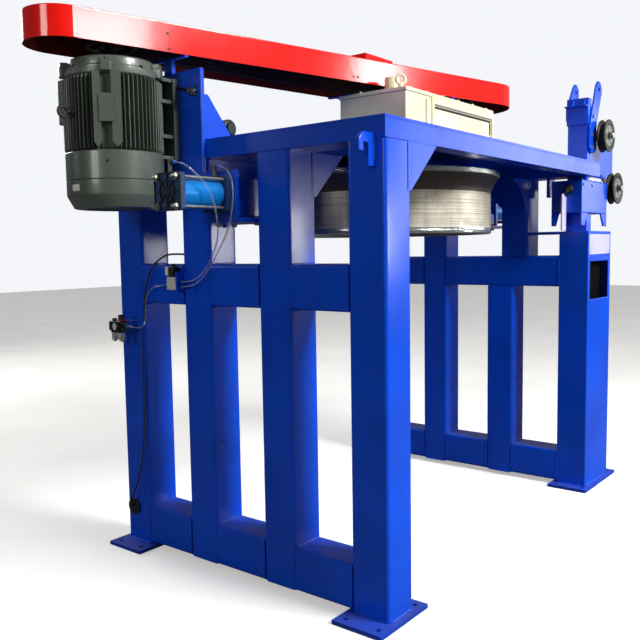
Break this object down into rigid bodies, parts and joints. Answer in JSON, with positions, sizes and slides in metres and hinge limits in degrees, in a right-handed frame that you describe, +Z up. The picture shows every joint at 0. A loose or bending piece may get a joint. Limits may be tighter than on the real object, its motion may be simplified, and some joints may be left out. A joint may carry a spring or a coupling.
{
  "type": "inverted vertical wire drawing machine",
  "caption": "Inverted vertical wire drawing block: two box-section side frames, a deck with gearbox and belt drive, a large drum hung under the deck, press rollers, die box and guide wheels.",
  "frame": {"origin": "on the floor, on the axis of the near front leg", "axes": "+X from the near side frame to the far one, +Y from the front (die side) to the back (motor side), +Z up"},
  "size_m": [3.8974, 1.863, 2.839],
  "materials": {
    "blue_paint": "gloss enamel",
    "cream_paint": "gloss enamel",
    "motor_grey_paint": "satin enamel",
    "red_paint": "gloss enamel",
    "worn_steel": "worn",
    "machined_steel": "machined",
    "cast_iron": "raw casting",
    "sky_blue_tube": "anodised",
    "slate_blue_metal": "satin",
    "black_rubber": "matt",
    "olive_paint": "satin",
    "valve_metal": "satin",
    "black_plastic": "satin",
    "clear_bowl": "clear",
    "brass_and_rubber": "satin",
    "clear_tube": "clear",
    "black_cable": "matt"
  },
  "bodies": {
    "root": {"air_bowls": "clear_bowl", "air_brackets": "blue_paint", "air_fittings": "brass_and_rubber", "air_service_unit": "black_plastic", "air_tube_front": "clear_tube", "air_tube_rear": "clear_tube", "air_tube_supply": "clear_tube", "air_valve": "valve_metal", "base_plates": "blue_paint", "belt_guard": "red_paint", "deck_cross_beams": "blue_paint", "deck_plate": "blue_paint", "deck_pump": "olive_paint", "deck_side_beams": "blue_paint", "die_box": "blue_paint", "die_box_feet": "blue_paint", "die_clamp": "blue_paint", "drive_belts": "black_rubber", "far_cylinder_barrel": "sky_blue_tube", "far_cylinder_ends": "slate_blue_metal", "far_front_leg": "blue_paint", "far_posts": "blue_paint", "far_press_bracket": "blue_paint", "far_rails": "blue_paint", "gearbox_case": "cream_paint", "gearbox_eye_bolts": "cream_paint", "gearbox_lid": "cream_paint", "guard_stands": "blue_paint", "guide_column": "blue_paint", "guide_ears": "blue_paint", "guide_head": "blue_paint", "guide_wheel_axles": "machined_steel", "gussets": "blue_paint", "lifting_hooks": "blue_paint", "motor_body": "motor_grey_paint", "motor_end_shield": "motor_grey_paint", "motor_fan_cowl": "motor_grey_paint", "motor_feet": "motor_grey_paint", "motor_plate": "blue_paint", "motor_terminal_box": "motor_grey_paint", "near_cylinder_barrel": "sky_blue_tube", "near_cylinder_ends": "slate_blue_metal", "near_posts": "blue_paint", "near_press_bracket": "blue_paint", "near_rails": "blue_paint", "output_sleeve": "blue_paint", "power_cable": "black_cable", "wheel_plate": "blue_paint"},
    "drum": {"drum": "worn_steel", "drum_shaft": "machined_steel"},
    "motor_pulley": {"motor_pulley": "machined_steel"},
    "input_pulley": {"input_pulley": "machined_steel"},
    "near_press": {"near_press_fork": "machined_steel"},
    "near_roller": {"near_press_roller": "machined_steel"},
    "far_press": {"far_press_fork": "machined_steel"},
    "far_roller": {"far_press_roller": "machined_steel"},
    "upper_wheel": {"upper_guide_wheel": "cast_iron"},
    "lower_wheel": {"lower_guide_wheel": "cast_iron"}
  },
  "joints": [
    {"name": "drum_spin", "type": "hinge", "parent": "root", "child": "drum", "pos_m": [1.215, 0.7995, 2.102], "axis": [0, 0, 1], "continuous": true},
    {"name": "motor_pulley_spin", "type": "hinge", "parent": "root", "child": "motor_pulley", "pos_m": [-0.375, 1.33, 2.592], "axis": [0, 0, 1], "continuous": true},
    {"name": "input_pulley_spin", "type": "hinge", "parent": "root", "child": "input_pulley", "pos_m": [2, 0.81658, 2.592], "axis": [0, 0, 1], "continuous": true},
    {"name": "near_press_slide", "type": "slide", "parent": "root", "child": "near_press", "axis": [1, 0, 0], "range_m": [0, 0.09]},
    {"name": "near_roller_spin", "type": "hinge", "parent": "near_press", "child": "near_roller", "pos_m": [0.37, 0.7995, 1.932], "axis": [0, 0, 1], "continuous": true},
    {"name": "far_press_slide", "type": "slide", "parent": "root", "child": "far_press", "axis": [-1, 0, 0], "range_m": [0, 0.09]},
    {"name": "far_roller_spin", "type": "hinge", "parent": "far_press", "child": "far_roller", "pos_m": [2.06, 0.7995, 1.932], "axis": [0, 0, 1], "continuous": true},
    {"name": "upper_wheel_spin", "type": "hinge", "parent": "root", "child": "upper_wheel", "pos_m": [2.73, -0.07, 2.421], "axis": [0, 1, 0], "continuous": true},
    {"name": "lower_wheel_spin", "type": "hinge", "parent": "root", "child": "lower_wheel", "pos_m": [2.937, -0.07, 2.069], "axis": [0, 1, 0], "continuous": true}
  ],
  "couplings": [
    {"joint": "input_pulley_spin", "follows": "drum_spin", "ratio": 12.5},
    {"joint": "motor_pulley_spin", "follows": "drum_spin", "ratio": 22}
  ]
}
